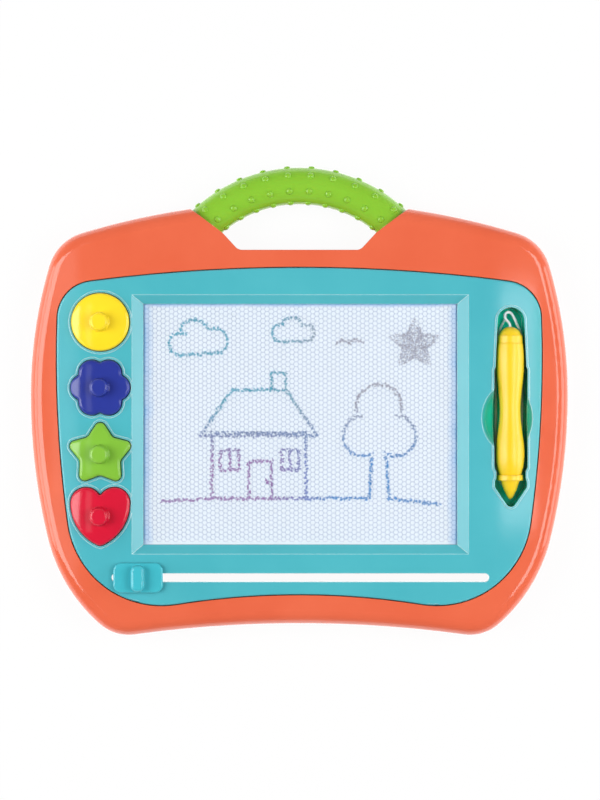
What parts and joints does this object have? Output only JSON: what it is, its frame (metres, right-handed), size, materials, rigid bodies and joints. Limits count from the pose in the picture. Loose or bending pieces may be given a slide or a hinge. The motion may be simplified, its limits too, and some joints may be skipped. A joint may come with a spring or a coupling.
{
  "type": "kids magnetic drawing board",
  "caption": "Magnetic drawing board with a carrying handle, sliding eraser, tethered pen in a tray and knobbed stamps in pockets.",
  "frame": {"origin": "on the surface that the board lies on, under the middle of its outline", "axes": "+Z out of the drawing face, +Y towards the carrying handle, +X along the eraser's slot towards the pen's tray"},
  "size_m": [0.378, 0.3299, 0.0418],
  "materials": {
    "orange_plastic": "moulded coral orange ABS, semi-gloss",
    "teal_plastic": "moulded teal ABS, semi-gloss",
    "yellow_plastic": "moulded yellow ABS, gloss",
    "blue_plastic": "moulded blue ABS, gloss",
    "green_plastic": "moulded light green ABS, gloss",
    "red_plastic": "moulded red ABS, gloss",
    "plain_plastic": "moulded natural plastic, matte",
    "green_rubber": "soft thermoplastic rubber, satin",
    "clear_film": "clear polyester film",
    "screen_white": "honeycomb cells filled with a pale liquid",
    "white_cord": "white braided polyester cord",
    "ferrite": "dark ferrite magnet",
    "screw_steel": "zinc-plated steel"
  },
  "bodies": {
    "case": {"front_shell": "orange_plastic", "rear_cover": "orange_plastic", "front_panel": "teal_plastic", "screen_film": "clear_film", "screen_core": "screen_white", "screen_back_sheet": "screen_white", "screen_clamp_frame": "plain_plastic", "handle_core": "plain_plastic", "handle_grip": "green_rubber", "case_screws": "screw_steel", "clamp_screws": "screw_steel", "pen_tether": "white_cord", "tether_knot": "white_cord"},
    "eraser": {"eraser_knob": "teal_plastic", "eraser_carriage": "plain_plastic", "eraser_magnet": "ferrite", "eraser_screw": "screw_steel"},
    "circle_stamp": {"stamp_circle": "yellow_plastic", "stamp_circle_magnet": "ferrite"},
    "flower_stamp": {"stamp_flower": "blue_plastic", "stamp_flower_magnet": "ferrite"},
    "star_stamp": {"stamp_star": "green_plastic", "stamp_star_magnet": "ferrite"},
    "heart_stamp": {"stamp_heart": "red_plastic", "stamp_heart_magnet": "ferrite"},
    "pen": {"pen_barrel": "yellow_plastic", "pen_end_cap": "yellow_plastic", "pen_nose": "yellow_plastic", "pen_magnet": "ferrite"}
  },
  "joints": [
    {"name": "eraser_slide", "type": "slide", "parent": "case", "child": "eraser", "axis": [1, 0, 0], "range_m": [0, 0.2255]},
    {"name": "circle_stamp_lift", "type": "slide", "parent": "case", "child": "circle_stamp", "axis": [0, 0, 1], "range_m": [0, 0.03]},
    {"name": "flower_stamp_lift", "type": "slide", "parent": "case", "child": "flower_stamp", "axis": [0, 0, 1], "range_m": [0, 0.03]},
    {"name": "star_stamp_lift", "type": "slide", "parent": "case", "child": "star_stamp", "axis": [0, 0, 1], "range_m": [0, 0.03]},
    {"name": "heart_stamp_lift", "type": "slide", "parent": "case", "child": "heart_stamp", "axis": [0, 0, 1], "range_m": [0, 0.03]},
    {"name": "pen_lift", "type": "slide", "parent": "case", "child": "pen", "axis": [0, 0, 1], "range_m": [0, 0.035]}
  ]
}
